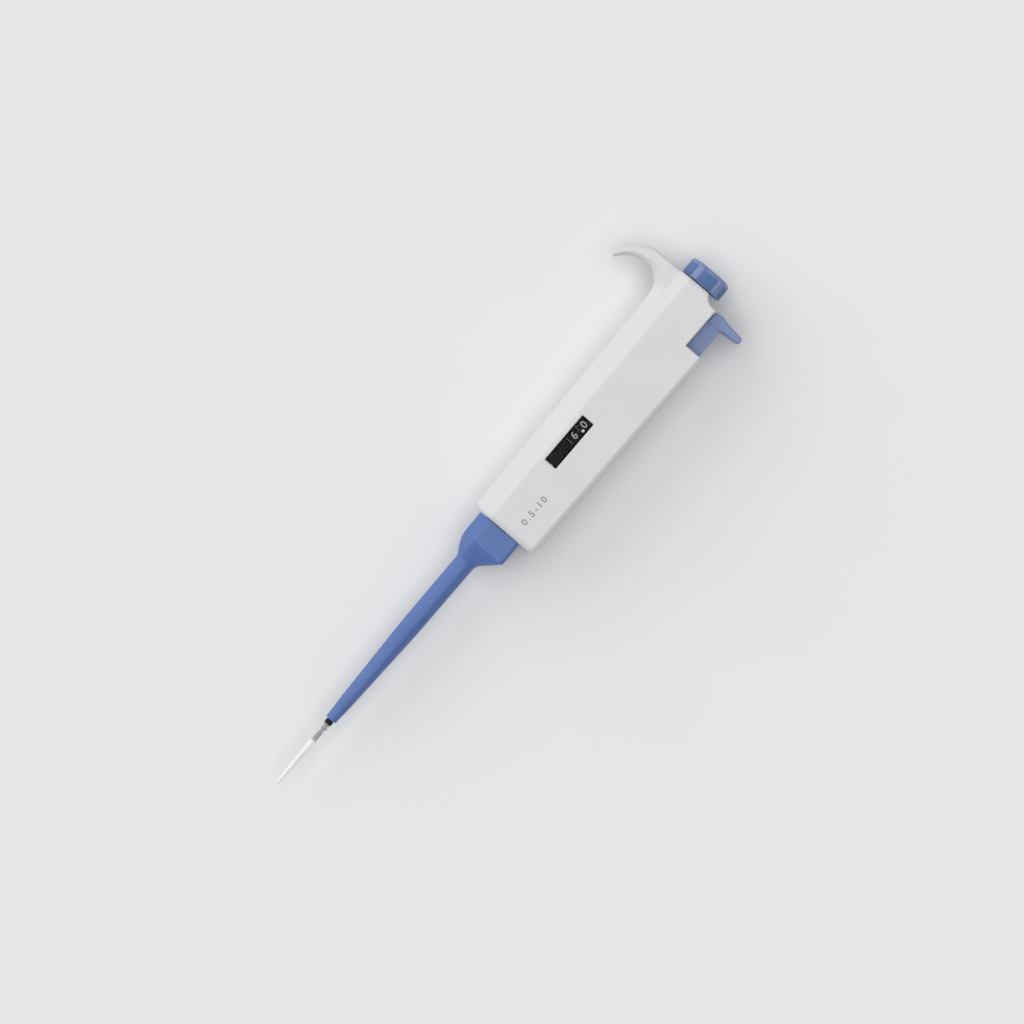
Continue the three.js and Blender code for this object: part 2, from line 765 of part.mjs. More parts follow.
const pipette = new THREE.Group();
pipette.name = "pipette";
pipette.add(upright);

export default pipette;
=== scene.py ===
"""Adjustable pipette, lying on its back on a pale floor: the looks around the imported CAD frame.

Meshes are drawn upright, in millimetres: Y runs up the piston axis from the tip's end, X points to the
tip-ejector side and Z to the display. `finish_piece` lays each one into the frame, in metres.
"""

import math

import bmesh
import bpy
from mathutils import Matrix, Vector


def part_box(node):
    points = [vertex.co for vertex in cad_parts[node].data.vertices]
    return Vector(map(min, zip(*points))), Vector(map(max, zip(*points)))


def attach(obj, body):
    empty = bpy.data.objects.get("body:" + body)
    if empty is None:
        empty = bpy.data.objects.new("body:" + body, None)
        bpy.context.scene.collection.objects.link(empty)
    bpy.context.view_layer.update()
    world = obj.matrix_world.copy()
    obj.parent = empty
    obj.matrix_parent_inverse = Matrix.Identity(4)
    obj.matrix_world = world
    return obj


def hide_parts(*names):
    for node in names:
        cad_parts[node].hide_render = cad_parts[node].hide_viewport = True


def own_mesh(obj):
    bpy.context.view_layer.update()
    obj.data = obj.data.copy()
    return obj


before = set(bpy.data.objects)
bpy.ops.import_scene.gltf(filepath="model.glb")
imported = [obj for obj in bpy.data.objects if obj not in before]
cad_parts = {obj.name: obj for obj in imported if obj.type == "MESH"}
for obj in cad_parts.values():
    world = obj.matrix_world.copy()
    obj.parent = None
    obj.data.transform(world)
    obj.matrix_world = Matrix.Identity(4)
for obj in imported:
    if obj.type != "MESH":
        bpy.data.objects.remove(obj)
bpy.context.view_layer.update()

MM = 0.001
TURN = 2 * math.pi


# ---- the upright frame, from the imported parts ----
drum_low, drum_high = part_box("units_drum")
axis_point = (drum_low + drum_high) / 2
tip_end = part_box("pipette_tip")[0].x
UPRIGHT = (
    Matrix.Translation((tip_end, axis_point.y, axis_point.z))
    @ Matrix.Rotation(-math.pi / 2, 4, "Z")
    @ Matrix.Scale(MM, 4)
)


class Span:
    """The box of a CAD node in the upright frame, in millimetres."""

    def __init__(self, node):
        corners = [UPRIGHT.inverted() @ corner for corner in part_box(node)]
        self.x0, self.x1 = sorted(c.x for c in corners)
        self.y0, self.y1 = sorted(c.y for c in corners)
        self.z0, self.z1 = sorted(c.z for c in corners)

    @property
    def height(self):
        return self.y1 - self.y0

    @property
    def radius(self):
        return (self.z1 - self.z0) / 2


# ---- mesh helpers ----
def placed(name, data):
    """A new object of the scene that holds a mesh, a curve, a light or a camera."""
    obj = bpy.data.objects.new(name, data)
    bpy.context.scene.collection.objects.link(obj)
    return obj


def object_from(bm):
    """An object of the mesh; `finish_piece` names it."""
    bmesh.ops.recalc_face_normals(bm, faces=bm.faces)
    mesh = bpy.data.meshes.new("shape")
    bm.to_mesh(mesh)
    bm.free()
    return placed("shape", mesh)


def evaluated_mesh(obj):
    """The object's shape with its modifiers, as a new mesh."""
    depsgraph = bpy.context.evaluated_depsgraph_get()
    depsgraph.update()
    return bpy.data.meshes.new_from_object(obj.evaluated_get(depsgraph))


def apply_modifiers(obj):
    mesh = evaluated_mesh(obj)
    obj.modifiers.clear()
    obj.data = mesh
    return obj


def polyline(dimensions, points):
    """A curve of straight stretches through points (x, y, z)."""
    curve = bpy.data.curves.new("line", "CURVE")
    curve.dimensions = dimensions
    path = curve.splines.new("POLY")
    path.points.add(len(points) - 1)
    for point, place in zip(path.points, points):
        point.co = (*place, 1)
    return curve


def mesh_from_curve(curve):
    """The solid that a curve's fill, depth and bevel describe, as a mesh object."""
    obj = placed("line", curve)
    mesh = evaluated_mesh(obj)
    bpy.data.objects.remove(obj)
    bm = bmesh.new()
    bm.from_mesh(mesh)
    bmesh.ops.remove_doubles(bm, verts=bm.verts, dist=1e-4)
    return object_from(bm)


def boolean(target, tool, operation="DIFFERENCE"):
    modifier = target.modifiers.new("boolean", "BOOLEAN")
    modifier.object = tool
    modifier.operation = operation
    modifier.solver = "EXACT"
    apply_modifiers(target)
    bpy.data.objects.remove(tool)
    return target


def polar(radius, angle, y):
    """A point at a radius from the Y axis; the angle runs from Z towards X."""
    return (radius * math.sin(angle), y, radius * math.cos(angle))


def loft(rings):
    """A closed solid through rings of equal point count; a ring is a list of (x, y, z)."""
    bm = bmesh.new()
    rows = [[bm.verts.new(p) for p in ring] for ring in rings]
    count = len(rows[0])
    for low, high in zip(rows, rows[1:]):
        for i in range(count):
            j = (i + 1) % count
            bm.faces.new((low[i], low[j], high[j], high[i]))
    bm.faces.new(rows[0])
    bm.faces.new(reversed(rows[-1]))
    return object_from(bm)


def turned(profile, sides=64):
    """A solid of revolution about Y. The profile is a list of (radius, y)."""
    bm = bmesh.new()
    closed = profile[0][0] > 0
    rows = []
    for radius, y in profile:
        if radius == 0:
            rows.append([bm.verts.new((0, y, 0))] * sides)
            continue
        angles = [TURN * i / sides for i in range(sides)]
        rows.append([bm.verts.new(polar(radius, a, y)) for a in angles])
    pairs = list(zip(rows, rows[1:]))
    if closed:
        pairs.append((rows[-1], rows[0]))
    for low, high in pairs:
        for i in range(sides):
            j = (i + 1) % sides
            corners = (low[i], low[j], high[j], high[i])
            bm.faces.new(list(dict.fromkeys(corners)))  # a triangle where a row is one point
    return object_from(bm)


def softened(profile, radius, steps=3):
    """The profile with its corners rounded: a list of (radius, y) that closes on itself or on the axis."""
    on_axis = profile[0][0] == 0
    points = []
    count = len(profile)
    for i, corner in enumerate(profile):
        here = Vector(corner)
        before = Vector(profile[i - 1])
        after = Vector(profile[(i + 1) % count])
        if on_axis and i in (0, count - 1):
            points.append(tuple(here))
            continue
        reach = min(radius, (before - here).length * 0.45, (after - here).length * 0.45)
        start = here + (before - here).normalized() * reach
        end = here + (after - here).normalized() * reach
        for k in range(steps + 1):
            t = k / steps
            p = start.lerp(here, t).lerp(here.lerp(end, t), t)
            points.append(tuple(p))
    return points


def rod(radius, y0, y1, soft=0.0, sides=64):
    """A round bar from y0 to y1; soft rounds its ends' edges."""
    profile = [(0, y0), (radius, y0), (radius, y1), (0, y1)]
    return turned(softened(profile, soft), sides)


def prism(points, y0, y1):
    """An outline (x, z) drawn out from y0 to y1."""
    return loft([[(x, y, z) for x, z in points] for y in (y0, y1)])


def block(x0, x1, y0, y1, z0, z1):
    """A box, to join to a piece or to cut one with."""
    return prism([(x0, z0), (x1, z0), (x1, z1), (x0, z1)], y0, y1)


def circle_points(radius, count):
    angles = [TURN * i / count for i in range(count)]
    return [(radius * math.cos(a), radius * math.sin(a)) for a in angles]


def quarter_turn(steps):
    """Angles from 0 to a right angle."""
    return [k / steps * math.pi / 2 for k in range(steps + 1)]


def rounded_outline(corners, steps=8):
    """Points round a polygon whose corners (x, z, radius) are replaced by arcs."""
    points = []
    count = len(corners)
    for i, (x, z, radius) in enumerate(corners):
        here = Vector((x, z))
        before = (Vector(corners[i - 1][:2]) - here).normalized()
        after = (Vector(corners[(i + 1) % count][:2]) - here).normalized()
        half = before.angle(after) / 2
        setback = radius / math.tan(half)
        centre = here + (before + after).normalized() * (radius / math.sin(half))
        start = here + before * setback - centre
        sweep = start.angle_signed(here + after * setback - centre)
        for k in range(steps + 1):
            angle = -sweep * k / steps
            cos, sin = math.cos(angle), math.sin(angle)
            arm = Vector((start.x * cos - start.y * sin, start.x * sin + start.y * cos))
            points.append(tuple(centre + arm))
    return points


def spline(points, steps):
    """A smooth open curve through points, as a list of points (Catmull-Rom)."""

    def between(a, b, c, d, t):
        bend = (2 * a - 5 * b + 4 * c - d) * t**2 + (3 * b - a - 3 * c + d) * t**3
        return (2 * b + (c - a) * t + bend) / 2

    ends = [points[0], *points, points[-1]]
    out = []
    for knots in zip(ends, ends[1:], ends[2:], ends[3:]):
        for k in range(steps):
            out.append(tuple(between(*values, k / steps) for values in zip(*knots)))
    out.append(tuple(points[-1]))
    return out


def quadratic(start, control, end, steps=8):
    """Points along an arc that leaves start and reaches end in the directions of the control point."""
    a, b, c = Vector(start), Vector(control), Vector(end)
    return [tuple(a.lerp(b, k / steps).lerp(b.lerp(c, k / steps), k / steps)) for k in range(steps + 1)]


def rounded_plate(points, half_width, edge, resolution):
    """A plate with an outline in the X-Y plane and round edges, centred on Z."""
    curve = polyline("2D", [(x, y, 0) for x, y in points])
    curve.fill_mode = "BOTH"
    curve.splines[0].use_cyclic_u = True
    curve.extrude = half_width - edge
    curve.bevel_depth = edge
    curve.bevel_resolution = resolution
    curve.offset = -edge
    return mesh_from_curve(curve)


def moved(obj, x=0.0, y=0.0, z=0.0):
    obj.data.transform(Matrix.Translation((x, y, z)))
    return obj


def pointing_forward(obj):
    """Turns a piece drawn about Y so that its axis runs along Z, head to the back."""
    obj.data.transform(Matrix.Rotation(math.pi / 2, 4, "X"))
    return obj


def joined(objects):
    """One object of several separate shells."""
    bm = bmesh.new()
    for obj in objects:
        bm.from_mesh(obj.data)
        bpy.data.objects.remove(obj)
    return object_from(bm)


def bevelled(obj, width, segments):
    """Bevels the edges that turn by more than 30 degrees."""
    modifier = obj.modifiers.new("bevel", "BEVEL")
    modifier.width = width
    modifier.segments = segments
    modifier.limit_method = "ANGLE"
    modifier.angle_limit = math.radians(30)
    modifier.miter_outer = "MITER_ARC"
    modifier.use_clamp_overlap = True
    return apply_modifiers(obj)


def cleaned(obj, distance=0.004, flatness=0.4):
    """Merges points closer than the distance and faces flatter than the angle, in degrees."""
    bm = bmesh.new()
    bm.from_mesh(obj.data)
    bmesh.ops.remove_doubles(bm, verts=bm.verts, dist=distance)
    bmesh.ops.dissolve_degenerate(bm, edges=bm.edges, dist=distance)
    bmesh.ops.dissolve_limit(bm, angle_limit=math.radians(flatness), verts=bm.verts, edges=bm.edges)
    bm.to_mesh(obj.data)
    bm.free()
    return obj


def finish_piece(obj, name, body, material, nodes=(), smooth=32):
    """Lays a piece drawn upright in millimetres into the frame and gives it its looks."""
    obj.name = name
    obj.data.name = name
    obj.data.transform(UPRIGHT)
    obj.data.materials.clear()
    obj.data.materials.append(material)
    obj.data.shade_smooth()
    obj.data.set_sharp_from_angle(angle=math.radians(smooth))
    weighted = obj.modifiers.new("weighted_normal", "WEIGHTED_NORMAL")
    weighted.keep_sharp = True
    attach(obj, body)
    if nodes:
        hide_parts(*nodes)
    return obj


def ring_piece(node, inner, soft, name, body, material, sides=64):
    """A plain ring with soft edges in its node's place."""
    span = Span(node)
    profile = [(inner, span.y0), (span.radius, span.y0), (span.radius, span.y1), (inner, span.y1)]
    ring = turned(softened(profile, soft), sides)
    finish_piece(ring, name, body, material, [node])


# ---- materials ----
def srgb(red, green, blue):
    """Linear colour of an sRGB colour given from 0 to 255."""

    def linear(value):
        share = value / 255
        return share / 12.92 if share <= 0.04045 else ((share + 0.055) / 1.055) ** 2.4

    return (linear(red), linear(green), linear(blue), 1.0)


def scaled(colour, factor):
    return tuple(min(1.0, c * factor) for c in colour[:3]) + (1.0,)


NOISE_RANGE = (0.3, 0.7)  # what most of a noise texture's values lie between


class Surface:
    """A Principled material whose colour, roughness and relief vary over the surface."""

    def __init__(self, name):
        self.material = bpy.data.materials.new(name)
        self.material.use_nodes = True
        self.nodes = self.material.node_tree.nodes
        self.links = self.material.node_tree.links
        self.shader = self.nodes["Principled BSDF"]
        self.place = self.nodes.new("ShaderNodeTexCoord").outputs["Object"]
        self.relief = None

    def set(self, **sockets):
        for name, value in sockets.items():
            self.shader.inputs[name.replace("_", " ")].default_value = value

    def stretched(self, scale):
        mapping = self.nodes.new("ShaderNodeMapping")
        mapping.inputs["Scale"].default_value = scale
        self.links.new(self.place, mapping.inputs["Vector"])
        return mapping.outputs["Vector"]

    def noise(self, size_mm, detail, rough=0.5, stretch=None):
        texture = self.nodes.new("ShaderNodeTexNoise")
        texture.inputs["Scale"].default_value = 1 / (size_mm * MM)
        texture.inputs["Detail"].default_value = detail
        texture.inputs["Roughness"].default_value = rough
        source = self.stretched(stretch) if stretch else self.place
        self.links.new(source, texture.inputs["Vector"])
        return texture.outputs["Fac"]

    def colour(self, fac, low, high):
        ramp = self.nodes.new("ShaderNodeValToRGB")
        for element, position, shade in zip(ramp.color_ramp.elements, NOISE_RANGE, (low, high)):
            element.position = position
            element.color = shade
        self.links.new(fac, ramp.inputs["Fac"])
        self.links.new(ramp.outputs["Color"], self.shader.inputs["Base Color"])

    def ranged(self, value, start, end, low, high, socket):
        """Makes a shader socket run from low to high while the value runs from start to end."""
        mapping = self.nodes.new("ShaderNodeMapRange")
        for name, limit in (("From Min", start), ("From Max", end), ("To Min", low), ("To Max", high)):
            mapping.inputs[name].default_value = limit
        self.links.new(value, mapping.inputs["Value"])
        self.links.new(mapping.outputs["Result"], self.shader.inputs[socket])

    def roughness(self, fac, low, high):
        self.ranged(fac, *NOISE_RANGE, low, high, "Roughness")

    def clouded(self, low, high, start, end):
        """Lets the share of what is hidden run from low to high between two places along X."""
        place = self.nodes.new("ShaderNodeSeparateXYZ")
        self.links.new(self.place, place.inputs["Vector"])
        self.ranged(place.outputs["X"], start, end, low, high, "Alpha")

    def bump(self, fac, depth_mm, strength=1.0):
        bump = self.nodes.new("ShaderNodeBump")
        bump.inputs["Distance"].default_value = depth_mm * MM
        bump.inputs["Strength"].default_value = strength
        self.links.new(fac, bump.inputs["Height"])
        if self.relief:
            self.links.new(self.relief, bump.inputs["Normal"])
        self.relief = bump.outputs["Normal"]
        self.links.new(self.relief, self.shader.inputs["Normal"])


def moulded_plastic(name, colour, rough=(0.3, 0.42), grain=0.35, depth=0.006, mottle=0.03, sheen=0.45):
    """Satin moulded plastic: faint mottling, a fine spark-eroded grain and handling marks."""
    surface = Surface(name)
    surface.set(Specular_IOR_Level=sheen, IOR=1.5)
    broad = surface.noise(14, 2)
    surface.colour(broad, scaled(colour, 1 - mottle), scaled(colour, 1 + mottle))
    surface.roughness(surface.noise(3, 4, 0.6), *rough)
    surface.bump(surface.noise(grain, 2), depth)
    surface.bump(surface.noise(9, 2), depth * 4, 0.35)
    return surface.material


def translucent_plastic(name, colour, cover, rough, depth, clouds=()):
    """Thin clear or milky plastic that hides only a share, cover, of what lies behind it."""
    surface = Surface(name)
    surface.set(IOR=1.49, Alpha=cover)
    surface.colour(surface.noise(6, 2), scaled(colour, 0.95), colour)
    surface.roughness(surface.noise(2, 3), *rough)
    surface.bump(surface.noise(0.5, 2), depth)
    if clouds:
        surface.clouded(*clouds)
    return surface.material


def turned_metal(name, colour, rough=(0.22, 0.38), along=(14, 1, 1)):
    """Metal with fine tool marks that run round the piston axis."""
    surface = Surface(name)
    surface.set(Metallic=1.0)
    marks = surface.noise(1.2, 4, 0.7, along)
    surface.colour(marks, scaled(colour, 0.88), colour)
    surface.roughness(surface.noise(0.8, 3, 0.6, along), *rough)
    surface.bump(marks, 0.003)
    return surface.material


WHITE_SHELL = moulded_plastic("white_shell", srgb(208, 209, 210), (0.28, 0.4), mottle=0.012)
INNER_WHITE = moulded_plastic("inner_white", srgb(222, 222, 220), (0.45, 0.6))
BUTTON_BLUE = moulded_plastic("button_blue", srgb(114, 131, 177), (0.3, 0.42), mottle=0.03)
# darker than the button's blue: painted shade for the hollows of the button's notches
NOTCH_SHADE_BLUE = moulded_plastic("notch_shade_blue", srgb(94, 120, 168), (0.45, 0.6), mottle=0.05, sheen=0.3)
SLEEVE_BLUE = moulded_plastic("sleeve_blue", srgb(82, 108, 168), (0.32, 0.44), mottle=0.03, sheen=0.35)
COUNTER_BLACK = moulded_plastic(
    "counter_black", srgb(13, 13, 16), (0.6, 0.75), depth=0.002, mottle=0.08, sheen=0.1
)
NUT_BLACK = moulded_plastic("nut_black", srgb(12, 14, 27), (0.4, 0.55), mottle=0.08, sheen=0.2)
NOZZLE_GREY = moulded_plastic("nozzle_grey", srgb(84, 85, 88), (0.25, 0.35), mottle=0.03)
PTFE = moulded_plastic("ptfe", srgb(238, 238, 233), (0.5, 0.62), mottle=0.01)
RUBBER = moulded_plastic("rubber", srgb(22, 22, 22), (0.6, 0.8), grain=0.15, depth=0.01, mottle=0.1)
FIGURE_GREY = moulded_plastic("figure_grey", srgb(196, 196, 196), (0.6, 0.75), mottle=0.02, sheen=0.2)
POINT_WHITE = moulded_plastic("point_white", srgb(232, 232, 230), (0.5, 0.65), mottle=0.02)
PRINT_GREY = moulded_plastic("print_grey", srgb(128, 130, 134), (0.45, 0.6), mottle=0.05)
WINDOW_CLEAR = translucent_plastic("window_clear", srgb(30, 31, 34), 0.08, (0.03, 0.07), 0.0005)
CLOUDS_END = [(UPRIGHT @ Vector((0, y, 0))).x for y in (21.2, 22.6)]  # the tip is clear from here up
TIP_CLEAR = translucent_plastic(
    "tip_clear", srgb(248, 249, 250), 0.55, (0.2, 0.3), 0.004, (0.8, 0.16, *CLOUDS_END)
)
STEEL = turned_metal("steel", srgb(196, 198, 202))
SPRING_STEEL = turned_metal("spring_steel", srgb(172, 174, 178), (0.25, 0.4), (1, 1, 1))
BRASS = turned_metal("brass", srgb(214, 178, 104), (0.2, 0.34))


# ---- driving sizes, in upright millimetres ----
shell = Span("handle_front_shell")
button = Span("push_button")
pad = Span("ejector_button")
sleeve = Span("ejector_sleeve")
bar = Span("ejector_bar")
lens = Span("window_lens")
HALF_DEPTH = shell.z1
HANDLE_BOTTOM = shell.y0
HANDLE_TOP = shell.y1
WALL = 2.0
GAP = 0.3
EDGE_RADIUS = 3.0
TOP_EDGE = 1.6
SHELF_Y = 238.5
SHELF_X = pad.x0 - GAP
SHOULDER_Y = 256.7
WELL_RADIUS = 9.9
WELL_FLOOR = Span("guide_bush").y1
SEAM = 0.06  # half of the parting line between the shells
STEM_RIGHT = 17.8  # the right side of the ejector button's stem
BAR_FOOT_RIGHT = 9.6  # the right side of the ejector bar's lower stretch
BARREL_HOLE = 4.9  # radius of the hole in the handle's foot and in the coupling nut
BUSH_HOLE = 7.0
SCREW_BORE = 5.2  # in the nut and the bush
ROD_HEX = 2.2  # this and the next three are radii to a six-sided shape's corners
SOCKET_HEX = 2.6
SPLINE_HEX = 4.2
DRUM_HEX = 4.6


def with_gap(low, high):
    """Two opposite sides of an opening that leaves the usual gap."""
    return low - GAP, high + GAP


# ---- handle shells ----
# the sides and the chamfers' crease, each at the heights of 140 and 240
HANDLE_LEFT = (-12, -13.7)
HANDLE_RIGHT = (18.5, 19.6)
HANDLE_CREASE = (-4.1, -5.4)


def mapped(y, low, high):
    """A size that runs evenly from low, at the height of 140, to high, at 240."""
    return low + (high - low) * (y - 140) / 100


def chamfered_outline(left, right, crease, depth, nose, edges, steps=8):
    """A section with a flat front and back and, from the crease to the left side's nose, chamfers."""
    right_edge, left_edge = edges
    corners = [
        (right, -depth, right_edge),
        (right, depth, right_edge),
        (crease, depth, left_edge),
        (left, nose, left_edge),
        (left, -nose, left_edge),
        (crease, -depth, left_edge),
    ]
    return rounded_outline(corners, steps)


def handle_ring(y, inset):
    """The handle's outline at a height, drawn in by inset."""
    left = mapped(y, *HANDLE_LEFT) + inset
    right = mapped(y, *HANDLE_RIGHT) - inset
    crease = mapped(y, *HANDLE_CREASE)
    depth = HALF_DEPTH - inset
    nose = 4.5 - inset * 0.4
    return [(x, y, z) for x, z in chamfered_outline(left, right, crease, depth, nose, (2.2, 3))]


def handle_outer():
    """The handle's outside, with rounded edges at its foot and its top."""
    rings = []
    for angle in quarter_turn(8):
        y = HANDLE_BOTTOM + EDGE_RADIUS * (1 - math.cos(angle))
        rings.append(handle_ring(y, EDGE_RADIUS * (1 - math.sin(angle)) * 0.9))
    for angle in quarter_turn(8):
        y = HANDLE_TOP - TOP_EDGE * (1 - math.sin(angle))
        rings.append(handle_ring(y, TOP_EDGE * (1 - math.cos(angle))))
    return loft(rings)


# The finger hook's stations, from its root inside the handle to its end: a point on the knob's
# side and the point across from it on the finger's side, each with its bevel's width. On the
# finger's side the bevel widens until it runs out in the handle's chamfer.
HOOK_STATIONS = [
    (-6, 259.6, 0.2, -12.4, 236, 3.4),
    (-7.5, 259.7, 0.3, -13.4, 239.5, 3.9),
    (-9, 259.9, 0.4, -13.8, 243, 4.2),
    (-11, 260, 0.5, -14.1, 246.5, 4.2),
    (-13.5, 260.1, 0.6, -14.8, 248.8, 3.7),
    (-16, 260.1, 0.7, -16, 250.7, 3),
    (-18.5, 260.2, 0.8, -17.8, 252.4, 2.5),
    (-21, 260.3, 0.9, -20, 253.6, 2),
    (-23.8, 260.15, 1, -22.5, 254, 1.6),
    (-26.5, 259.2, 1.1, -25, 253.8, 1.3),
    (-29.2, 257.6, 1.1, -27.5, 253.1, 1.2),
    (-31.6, 255.6, 1, -30, 251.7, 1.1),
    (-33.7, 253, 0.9, -32, 250, 0.9),
    (-35, 250.2, 0.7, -33.6, 248.2, 0.6),
    (shell.x0, 248.2, 0.5, -34.4, 247.3, 0.4),
]
HOOK_HALF_WIDTH = 8.6
HOOK_TAPER_X = -15  # to the left of this the hook narrows
HOOK_TAPER = 0.0084  # the share of its width that each millimetre takes away
KNOB_BEVEL_DEPTH = 1.2


def hook_edge(line, i, turn, half, depth):
    """One long edge of the hook's section at a station: out to the broad face, as (x, y, z)."""
    x, y, bevel = line[i]
    before = line[max(i - 1, 0)]
    after = line[min(i + 1, len(line) - 1)]
    along = Vector((after[0] - before[0], after[1] - before[1])).normalized()
    inward = Vector((-along.y, along.x)) * turn
    profile = softened([(0, 0), (0, half - depth), (bevel, half), (bevel + 0.5, half)], 0.6, 5)
    return [(x + inward.x * inset, y + inward.y * inset, z) for inset, z in profile[1:-1]]


def hook():
    """The finger hook, narrower towards its end and bevelled along all four long edges."""
    stations = spline(HOOK_STATIONS, 5)
    knob_side = [station[:3] for station in stations]
    finger_side = [station[3:] for station in stations]
    rings = []
    for i, station in enumerate(stations):
        half = HOOK_HALF_WIDTH * (1 - HOOK_TAPER * max(0.0, HOOK_TAPER_X - station[0]))
        depth = min(3.4, max(1.2, finger_side[i][2] * 0.85))
        front = hook_edge(finger_side, i, -1, half, depth)
        front += reversed(hook_edge(knob_side, i, 1, half, KNOB_BEVEL_DEPTH))
        back = [(x, y, -z) for x, y, z in reversed(front)]
        rings.append(front + back)
    return loft(rings)


LOW_CAVITY = (HANDLE_BOTTOM + 2.2, 236.3)  # from the foot's wall to under the shelf
HIGH_CAVITY = (230, 251.1)  # round the screw's nut, to under the well's floor
HIGH_CAVITY_RIGHT = 8.9


def handle_cavity_parts():
    """The two hollows, which run into each other; the upper one's walls are a little thicker."""
    lower = loft([handle_ring(y, WALL) for y in LOW_CAVITY])
    upper = loft([handle_ring(y, WALL + 0.1) for y in HIGH_CAVITY])
    boolean(upper, block(-20, HIGH_CAVITY_RIGHT, 200, 260, -20, 20), "INTERSECT")
    return [lower, upper]


def shoulder_profile(grow):
    """What is cut away above the shelf and the shoulder, widened by grow."""
    slope = quadratic((4.4, HANDLE_TOP - 0.2), (6, 257.4), (8.6, SHOULDER_Y + 0.1))
    return [
        (4.4 - grow, HANDLE_TOP + 3),
        *[(x - grow * 0.7, y - grow * 0.7) for x, y in slope],
        (SHELF_X - grow, SHOULDER_Y - grow),
        (SHELF_X - grow, SHELF_Y - grow),
        (18.3, SHELF_Y - grow),
        (19.9, SHELF_Y - 6),
        (24, SHELF_Y - 6),
        (24, HANDLE_TOP + 3),
    ]


def shoulder_cutter():
    """The notch and shoulder, flared where it leaves the front and the back, so that the edges are soft."""
    levels = [(-15, 0.45), (-HALF_DEPTH, 0.45), (-HALF_DEPTH + 0.45, 0)]
    levels += [(-z, grow) for z, grow in reversed(levels)]
    return loft([[(x, y, z) for x, y in shoulder_profile(grow)] for z, grow in levels])


def well_cutter():
    """The push button's well, with a round foot and a lip that opens outwards."""
    lip = 0.5
    profile = [
        (0, WELL_FLOOR),
        (WELL_RADIUS - 0.5, WELL_FLOOR),
        (WELL_RADIUS, WELL_FLOOR + 0.5),
        (WELL_RADIUS, HANDLE_TOP - lip),
        (WELL_RADIUS + 0.12, HANDLE_TOP - lip * 0.4),
        (WELL_RADIUS + lip, HANDLE_TOP),
        (WELL_RADIUS + 2 * lip, HANDLE_TOP + 1),
        (0, HANDLE_TOP + 1),
    ]
    return turned(profile, 96)


def window_ring(z, grow, radius):
    """A rectangle with round corners that stands out from the window pane's sides by grow."""
    left, right = lens.x0 - grow, lens.x1 + grow
    low, high = lens.y0 - grow, lens.y1 + grow
    corners = [(left, low, radius), (right, low, radius), (right, high, radius), (left, high, radius)]
    return [(x, y, z) for x, y in rounded_outline(corners, 4)]


def window_cutter():
    """The window's opening, with a small bevel at the front face."""
    levels = ((8, 0), (HALF_DEPTH - 0.3, 0), (HALF_DEPTH + 0.4, 0.7))
    return loft([window_ring(z, GAP + grow, 0.5) for z, grow in levels])


SCREW_NODES = ["shell_screw_1", "shell_screw_2", "shell_screw_3", "shell_screw_4"]


def screw_place(node):
    """A screw's place (x, y) and the depths of its head and its end."""
    span = Span(node)
    return (span.x0 + span.x1) / 2, (span.y0 + span.y1) / 2, span.z0, span.z1


def in_boss(node):
    """Says whether a screw stands free in the hollow, where it needs a boss round it."""
    return screw_place(node)[0] > 0


BOSS_RADIUS = 2.2
RECESS_RADIUS = 2.1
SCREW_HOLE = 1.2
STEM_SLOT_FOOT = 219.5


def screw_cutters(node):
    """The recess for a screw's head, and the hole for its shank."""
    x, y, back, front = screw_place(node)
    recess = pointing_forward(rod(RECESS_RADIUS, back - 1.2, back + 1.7, sides=48))
    hole = pointing_forward(rod(SCREW_HOLE, back, front + 0.4, sides=32))
    return [moved(recess, x, y), moved(hole, x, y)]


def handle_body():
    """The whole handle, hollowed and opened, before it is parted into shells."""
    body = boolean(handle_outer(), hook(), "UNION")
    for part in handle_cavity_parts():
        boolean(body, part)
    for node in filter(in_boss, SCREW_NODES):
        x, y, _, _ = screw_place(node)
        boss = pointing_forward(rod(BOSS_RADIUS, -HALF_DEPTH + 1, HALF_DEPTH - 1))
        boolean(body, moved(boss, x, y), "UNION")
    spring_ledge = block(11, 17.6, 197.3, 199.3, 3.2, HALF_DEPTH - 1)
    boolean(body, spring_ledge, "UNION")
    foot = (HANDLE_BOTTOM - 1, HANDLE_BOTTOM + 4)
    cutters = [
        well_cutter(),
        rod(BUSH_HOLE, WELL_FLOOR - 4, WELL_FLOOR + 1),
        rod(BARREL_HOLE, *foot),
        block(*with_gap(bar.x0, BAR_FOOT_RIGHT), *foot, *with_gap(bar.z0, bar.z1)),
        shoulder_cutter(),
        block(*with_gap(pad.x0, STEM_RIGHT), STEM_SLOT_FOOT, SHELF_Y + 1, *with_gap(pad.z0, pad.z1)),
        window_cutter(),
    ]
    for node in SCREW_NODES:
        cutters += screw_cutters(node)
    for cutter in cutters:
        boolean(body, cutter)
    return body


def make_shells():
    """The front and back halves of the handle, with the parting line between them."""
    whole = handle_body()
    reach = 60
    for node, low, high in (("handle_front_shell", SEAM, reach), ("handle_back_shell", -reach, -SEAM)):
        half = placed("half", whole.data.copy())
        boolean(half, block(-reach, reach, 100, 300, low, high), "INTERSECT")
        cleaned(half)
        finish_piece(half, node.replace("handle_", ""), "handle", WHITE_SHELL, [node])
    bpy.data.objects.remove(whole)


